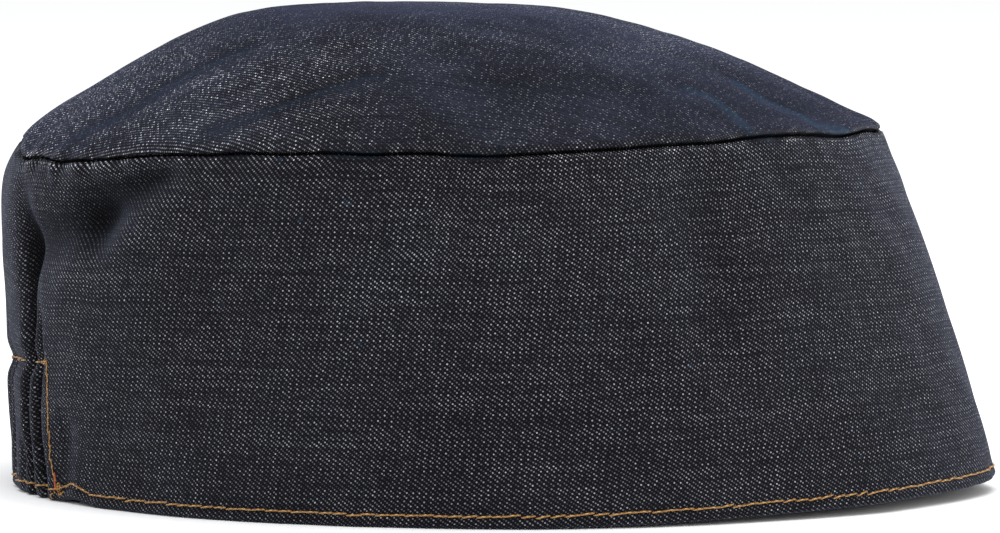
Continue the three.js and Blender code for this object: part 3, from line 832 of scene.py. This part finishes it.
def make_crown(*materials):
    section = crown_section()
    angles = np.linspace(0, math.tau, CROWN_COLUMNS, endpoint=False)
    points = np.array([crown_point(angles, share, drop, inset) for share, drop, inset, _ in section])
    rows, columns = points.shape[:2]
    faces, at_rows, at_columns = grid_faces(rows, columns, False, True)
    ends = points[[0, -1]].mean(1)
    # Cloth coordinates: distance along the surface from the middle, in the direction of the plan
    closed = np.concatenate([points, ends[1:, None].repeat(columns, 1)], 0)
    out = running(closed[::-1], 0)[::-1][:-1].mean(1)
    flat = out[:, None, None] * unit((points[-1] - ends[1])[:, :2])
    corners = flat[at_rows, at_columns % columns]
    sides = [section[r][3] for r in at_rows[:, 0]]
    faces = faces.tolist()
    corners = list(corners.reshape(-1, 2))
    bottom, top = rows * columns, rows * columns + 1
    for c in range(columns):
        here, after = c, (c + 1) % columns
        last = (rows - 1) * columns
        faces.append([bottom, after, here])
        corners += [np.array([out[0], 0.0]), flat[0, after], flat[0, here]]
        faces.append([top, last + here, last + after])
        corners += [np.zeros(2), flat[-1, here], flat[-1, after]]
        sides += [REVERSE, FACE]
    points = np.concatenate([points.reshape(-1, 3), ends])
    x, y, z = points.T
    over = np.concatenate([over_seam(angles, section).ravel(), [CROWN_LEVEL, CROWN_LEVEL]])
    painted_sheens = seam_painted_sheen(over, x, y, z)
    frays = seam_fray(over, np.concatenate([np.tile(angles, rows), [0, 0]]), x, y, z)
    # Painted sheen on the crown's folds and patches
    for f in CROWN_FOLDS:
        folded = bell(distance_to_path(x, np.abs(y), f["path"]), f["width"])
        painted_sheens = np.maximum(painted_sheens, f["painted_sheen"] * folded)
    # Painted shade by the seam's groove
    marks = {SHADE_MARK: bell(over, SEAM_SHADE), SHEEN_MARK: painted_sheens, FRAY: frays}
    return mesh_object("crown_cloth", points, faces, corners, materials, sides, marks)


def strip(name, half, rows, thickness, material):
    """A strip of cloth inside the back of the band: rows of heights and insets, and a thickness inwards"""
    places = np.linspace(half, -half, round(2 * half / GATHER_STEP) + 1)
    outer, inner = (
        [band_point(places, np.full(len(places), h), inset + more) for h, inset in rows]
        for more in (0, thickness)
    )
    points = np.array(outer + inner[::-1])
    count, columns = points.shape[:2]
    faces, at_rows, at_columns = grid_faces(count, columns, True, False)
    around = running(points[2], 0)
    up = running(np.concatenate([points, points[:1]]), 0).mean(1)
    corners = list(np.stack([around[at_columns], up[at_rows]], -1)[:, ::-1].reshape(-1, 2))
    faces = faces[:, ::-1].tolist()
    for r in range(len(rows) - 1):
        a, b = r * columns, (r + 1) * columns
        c, d = (count - 2 - r) * columns, (count - 1 - r) * columns
        end = columns - 1
        faces.append([a, d, c, b])
        faces.append([b + end, c + end, d + end, a + end])
        corners += [np.array([0.0, up[r]])] * 8
    return mesh_object(name, points.reshape(-1, 3), faces, corners, (material,))


def tubes(name, paths, radius, material):
    """Threads as closed tubes along paths of points, narrowing at their ends. Each path is an array of points
    in millimetres. The cloth coordinates run along a thread and round it."""
    points, faces, corners = [], [], []
    for path in paths:
        count = len(path)
        ahead = unit(np.gradient(path, axis=0))
        up = (0, 0, 1) if abs(ahead[:, 2]).mean() < 0.8 else (1, 0, 0)
        side = unit(np.cross(ahead, up))
        top = np.cross(side, ahead)
        place = np.linspace(-1, 1, count)
        size = radius * (1 - THREAD_NARROWS * np.abs(place) ** 4)
        turn = np.linspace(0, math.tau, THREAD_SIDES, endpoint=False)
        ring = side[:, None] * np.cos(turn)[None, :, None] + top[:, None] * np.sin(turn)[None, :, None]
        base = len(points)
        points += list((path[:, None] + ring * size[:, None, None]).reshape(-1, 3))
        grid, at_rows, at_columns = grid_faces(count, THREAD_SIDES, False, True)
        length = running(path, 0)
        faces += (grid + base).tolist()
        corners += list(np.stack([length[at_rows], at_columns / THREAD_SIDES], -1).reshape(-1, 2))
        last = base + (count - 1) * THREAD_SIDES
        faces.append([base + k for k in range(THREAD_SIDES)][::-1])
        faces.append([last + k for k in range(THREAD_SIDES)])
        corners += [np.zeros(2)] * (2 * THREAD_SIDES)
    return mesh_object(name, points, faces, corners, (material,))


def stitch_paths(line, length, seed, wobble=0.08, slant=0.12, dip=1.15, gap=STITCH_GAP, upright=False):
    """Stitches along a line of the band, which is a function of the distance along it that gives places and
    heights. Each one dips into the cloth at both ends, as far as dip gives in radii, and wanders across the
    line and lies askew to it. The line is upright or runs along the hem."""
    draw = np.random.RandomState(seed)
    count = max(1, round(length / STITCH))
    step = length / count
    share = (1 - np.cos(np.linspace(0, math.pi, STITCH_POINTS))) / 2
    paths = []
    for k in range(count):
        start = max(0, k * step + gap / 2 + draw.uniform(-STITCH_LOOSE, STITCH_LOOSE))
        end = (k + 1) * step - gap / 2 + draw.uniform(-STITCH_LOOSE, STITCH_LOOSE)
        places, heights = line(mix(start, end, share))
        tilt = slant * (0.2 + 1.3 * math.sin(0.13 * k + seed) ** 4 + 0.5 * draw.normal())
        shift = draw.normal() * wobble + tilt * np.sin((share - 0.5) * math.pi)
        arch = THREAD * (STITCH_RISE - dip * np.abs(2 * share - 1) ** STITCH_DIVE)
        across, rise = (shift, 0) if upright else (0, shift)
        paths.append(band_point(places + across, heights + rise, -arch))
    return paths


def hem_line(start, end):
    """The hem's stitching between two signed places"""
    way = np.sign(end - start)

    def line(s):
        place = start + way * s
        return place, HEM_LINE + NOTCH_THREAD * bell(np.abs(place) - NOTCH_PLACE, NOTCH_HALF)
    return line


def casing_top_line(s):
    place = CASING_HALF - s
    return place, casing_top(place) + CASING_LINE_WAVE * np.sin(place / CASING_LINE_LENGTH)


def casing_end_line(side):
    """Down the end of the casing on one side, leaning a little as it nears the hem"""
    def line(s):
        height = CASING_TOP - s
        lean = CASING_END_LEAN * (1 - smooth(HEM_LINE, LEAN_FROM, height))
        return side * (CASING_HALF + CASING_END_OFFSET + lean), height
    return line


def knot(place, height, seed, size, loops):
    """A thread tangle: curls over one spot of the band's face, some of them open"""
    draw = np.random.RandomState(seed)
    paths = []
    for _ in range(loops):
        t = np.linspace(0, 1, KNOT_POINTS)
        around = draw.uniform(0, math.tau) + t * draw.uniform(0.5, 1.5) * math.pi
        wide, tall = size * draw.uniform(0.15, 0.45, 2)
        across = draw.uniform(-0.7, 0.7) * size + wide * np.cos(around)
        rise = draw.uniform(-0.6, 0.6) * size + tall * np.sin(around)
        lift = THREAD * (0.8 + draw.uniform(0, 2.2)) * np.sin(t * math.pi) ** 0.5 - THREAD * 0.5
        paths.append(band_point(place + across, height + rise, -lift))
    return paths


def in_open(paths, places):
    """The stitches whose middles don't lie in the deepest gathers, where the cloth folds over them"""
    depths = gather_depth(np.abs(places) + FOLD_LEAN, CASING_TOP, FOLD_SPREAD)
    return [path for path, depth in zip(paths, depths) if depth < FOLDED_OVER]


def make_stitches(copper, rust):
    corner = CASING_HALF + CASING_END_OFFSET + CASING_END_LEAN
    front = HALF_HEM - FRONT_GAP
    hem = stitch_paths(hem_line(corner, front), front - corner, 21)
    hem += stitch_paths(hem_line(-corner, -front), front - corner, 22)
    hem += stitch_paths(hem_line(corner, -corner), 2 * corner, 23, wobble=0.25)
    top = stitch_paths(casing_top_line, 2 * CASING_HALF, 24, wobble=0.2)
    middles = CASING_HALF * (1 - 2 * (np.arange(len(top)) + 0.5) / len(top))
    top = in_open(top, middles)
    ends, lower = [], []
    for side, seed in ((1, 25), (-1, 26)):
        line, length = casing_end_line(side), CASING_TOP - HEM_LINE
        paths = stitch_paths(line, length, seed, wobble=0.1, dip=0.9, gap=-0.6, upright=True)
        ends += paths[:-1]
        lower += paths[-1:]
        ends += knot(side * CASING_HALF, CASING_TOP, seed + 10, **UPPER_KNOT)
        ends += knot(side * (corner + KNOT_AWAY), HEM_LINE - KNOT_BELOW, seed + 20, **LOWER_KNOT)
    pieces = [
        tubes("hem_stitches", hem, THREAD, copper),
        tubes("casing_top_stitches", top, THREAD, copper),
        tubes("casing_end_stitches", ends, END_THREAD * THREAD, copper),
        tubes("casing_lower_stitches", lower, RUST_THREAD * THREAD, rust),
    ]
    return [ride(piece, "thread") for piece in pieces]


def make_inner_strips(reverse, web):
    """The elastic, and the casing strip behind it, whose upper edge meets the band at its stitching"""
    inset = CLOTH + SEAM_GAP
    heights = np.linspace(HEM_TURN + ELASTIC_OVER_HEM, ELASTIC_TOP, ELASTIC_ROWS)
    rows = [(h, inset) for h in heights]
    elastic = strip("elastic_web", CASING_HALF - CASING_SPARE, rows, ELASTIC_THICK, web)
    deep = inset + ELASTIC_THICK + CASING_GAP
    rows = [(h, deep) for h in np.linspace(CASING_FOOT, ELASTIC_TOP, CASING_ROWS)]
    rows += [(row["height"], mix(deep, inset, row["share"])) for row in CASING_EDGE]
    casing = strip("casing_cloth", CASING_HALF + CASING_SPARE, rows, CLOTH, reverse)
    return elastic, casing


# Stage and light, in metres
FLOOR_HALF = 12
FLOOR_WHITE = (0.9, 0.9, 0.9, 1)
SKY = (0.99, 0.995, 1, 1)
SKY_STRENGTH = 1.08
LIT = (0, 0, 0.05)
SOFTBOXES = [
    {"side": "top", "place": (0.1, -0.2, 1.8), "size": 1.6, "power": 23, "colour": (0.95, 0.97, 1)},
    {"side": "right", "place": (1.6, -0.6, 0.3), "size": 0.8, "power": 10, "colour": (1, 0.99, 0.98)},
    {"side": "left", "place": (-1.6, -0.9, 0.3), "size": 0.8, "power": 2.6, "colour": (1, 0.99, 0.98)},
]


def floor():
    mesh = bpy.data.meshes.new("floor")
    corners = [(x * FLOOR_HALF, y * FLOOR_HALF, 0) for x, y in ((-1, -1), (1, -1), (1, 1), (-1, 1))]
    mesh.from_pydata(corners, [], [(0, 1, 2, 3)])
    mesh.materials.append(Nodes("floor_white").finish(
        base_color=FLOOR_WHITE, roughness=1.0, specular_ior_level=0.0))
    made = add_object("floor", mesh)


def aim(name, data, place, way):
    """A light or camera at a place, looking in a direction"""
    made = add_object(name, data)
    made.location = place
    made.rotation_euler = way.to_track_quat("-Z", "Y").to_euler()
    return made


def lights():
    world = bpy.data.worlds.new("studio")
    world.use_nodes = True
    background = world.node_tree.nodes["Background"].inputs
    background["Color"].default_value = SKY
    background["Strength"].default_value = SKY_STRENGTH
    bpy.context.scene.world = world
    for box in SOFTBOXES:
        name = box["side"] + "_softbox"
        light = bpy.data.lights.new(name, "AREA")
        light.shape = "DISK"
        light.size = box["size"]
        light.energy = box["power"]
        light.color = box["colour"]
        aim(name, light, box["place"], Vector(LIT) - Vector(box["place"]))
    bpy.context.scene.view_settings.view_transform = "Standard"


# Camera: its bearing and height angle, its distance and what it looks at
BEARING = 10.0
ELEVATION = 4.2
DISTANCE = 1.150
TARGET = (0.0005, 0.0, 0.0457)
PIXELS_PER_METRE = 4745  # at the target
IMAGE_WIDTH = 1000


def camera():
    data = bpy.data.cameras.new("camera")
    data.sensor_width = 36
    data.lens = data.sensor_width * PIXELS_PER_METRE * DISTANCE / IMAGE_WIDTH
    data.clip_start = 0.05
    data.clip_end = 50
    a, e = math.radians(BEARING), math.radians(ELEVATION)
    back = Vector((math.sin(a) * math.cos(e), -math.cos(a) * math.cos(e), math.sin(e)))
    bpy.context.scene.camera = aim("camera", data, Vector(TARGET) + back * DISTANCE, -back)


band_face = denim("denim_face", dots=0.92, nap=0.115, nap_spread=0.45)
# The crown's face carries painted sheen: a paler, bluer warp
crown_sheened_face = denim("denim_crown_painted_sheen", dots=2.7, faint=0.12, rarity=2.0, worn_and_sheen_indigo=CROWN_SHEEN_INDIGO, nap=0.075,
                   fuzz=CROWN_FUZZ)
# The face without sheen, as painted shade in the seam's groove
shaded_groove = denim("denim_shaded_groove", nap=0.0)
reverse = denim("denim_reverse", reverse=True)
copper = thread("thread_copper", **COPPER)
rust = thread("thread_rust", **RUST)

band = ride(make_band(band_face, reverse, shaded_groove), "denim", "side_band")
crown = ride(make_crown(crown_sheened_face, reverse, shaded_groove, band_face), "denim", "crown")
elastic, casing = make_inner_strips(reverse, webbing("elastic_webbing"))
ride(elastic, "elastic", "back_elastic")
ride(casing, "denim", "elastic_casing")
stitches = make_stitches(copper, rust)

floor()
lights()
camera()
